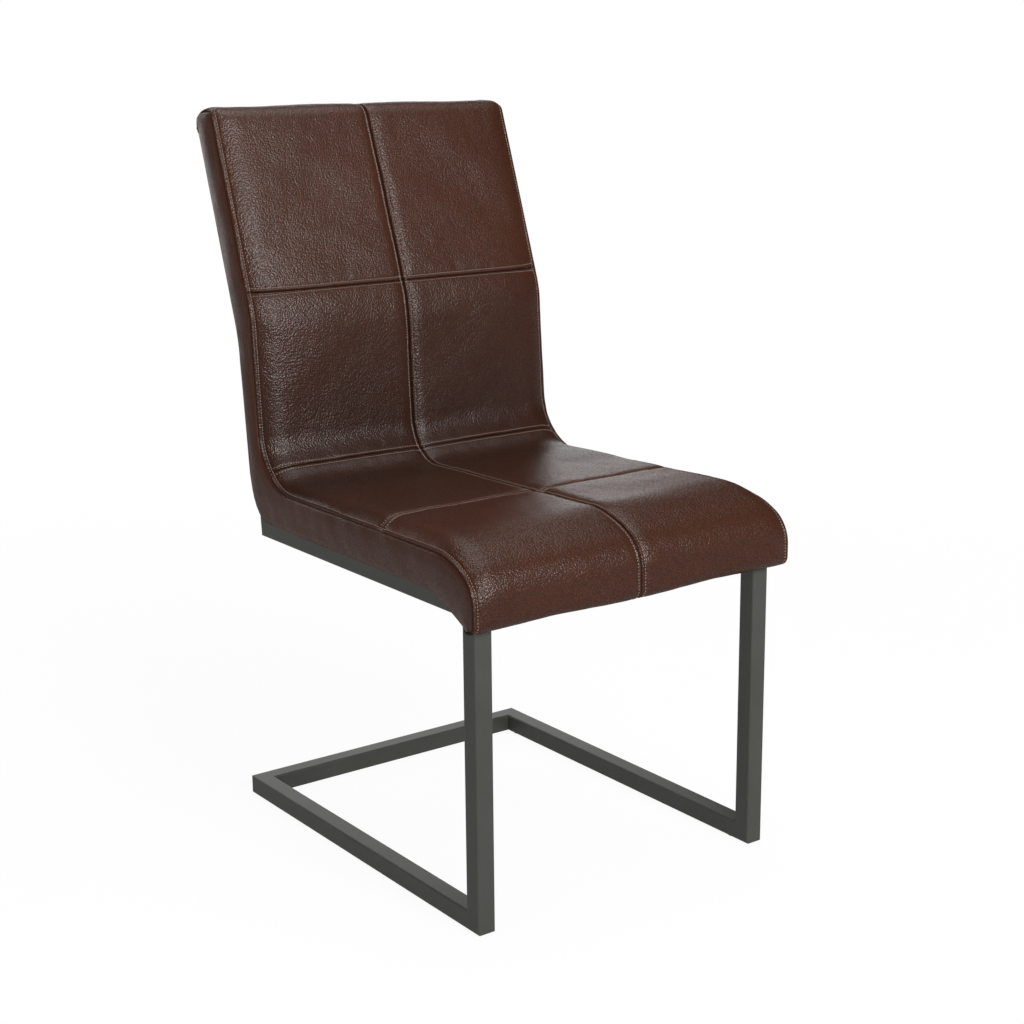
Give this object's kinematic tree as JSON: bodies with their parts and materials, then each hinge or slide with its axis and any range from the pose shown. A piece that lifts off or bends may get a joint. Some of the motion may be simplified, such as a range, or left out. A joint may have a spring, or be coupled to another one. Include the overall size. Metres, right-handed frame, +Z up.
{
  "type": "cantilever dining chair",
  "caption": "Cantilever dining chair: a padded S-shaped seat and back in sewn dark leather on a welded square tube frame",
  "frame": {"origin": "on the floor under the middle of the chair's bounding box", "axes": "+Z up, the chair faces -Y, +X is the sitter's left; the chair is symmetric about the plane x = 0"},
  "size_m": [0.492, 0.6422, 0.955],
  "materials": {
    "frame_coat": "satin powder coat",
    "plywood": "unfinished",
    "foam": "open cell foam",
    "leather": "semi gloss, pebble grain",
    "dust_cloth": "non-woven",
    "glide_plastic": "matte",
    "zinc_steel": "zinc plated"
  },
  "bodies": {
    "root": {"back_board": "plywood", "back_crossbar_lumbar": "frame_coat", "back_crossbar_top": "frame_coat", "back_foam": "foam", "back_lower_panel_left": "leather", "back_lower_panel_right": "leather", "back_nuts": "zinc_steel", "back_post_lower_left": "frame_coat", "back_post_lower_right": "frame_coat", "back_post_upper_left": "frame_coat", "back_post_upper_right": "frame_coat", "back_screws": "zinc_steel", "back_upper_panel_left": "leather", "back_upper_panel_right": "leather", "dust_cover": "dust_cloth", "floor_rail_left": "frame_coat", "floor_rail_rear": "frame_coat", "floor_rail_right": "frame_coat", "front_leg_left": "frame_coat", "front_leg_right": "frame_coat", "glide_front_left": "glide_plastic", "glide_front_right": "glide_plastic", "glide_rear_left": "glide_plastic", "glide_rear_right": "glide_plastic", "rear_panel": "leather", "seat_board": "plywood", "seat_crossbar_front": "frame_coat", "seat_crossbar_rear": "frame_coat", "seat_foam": "foam", "seat_front_panel_left": "leather", "seat_front_panel_right": "leather", "seat_nuts": "zinc_steel", "seat_rail_left": "frame_coat", "seat_rail_right": "frame_coat", "seat_rear_panel_left": "leather", "seat_rear_panel_right": "leather", "seat_screws": "zinc_steel", "side_panel_left": "leather", "side_panel_right": "leather"}
  },
  "joints": []
}
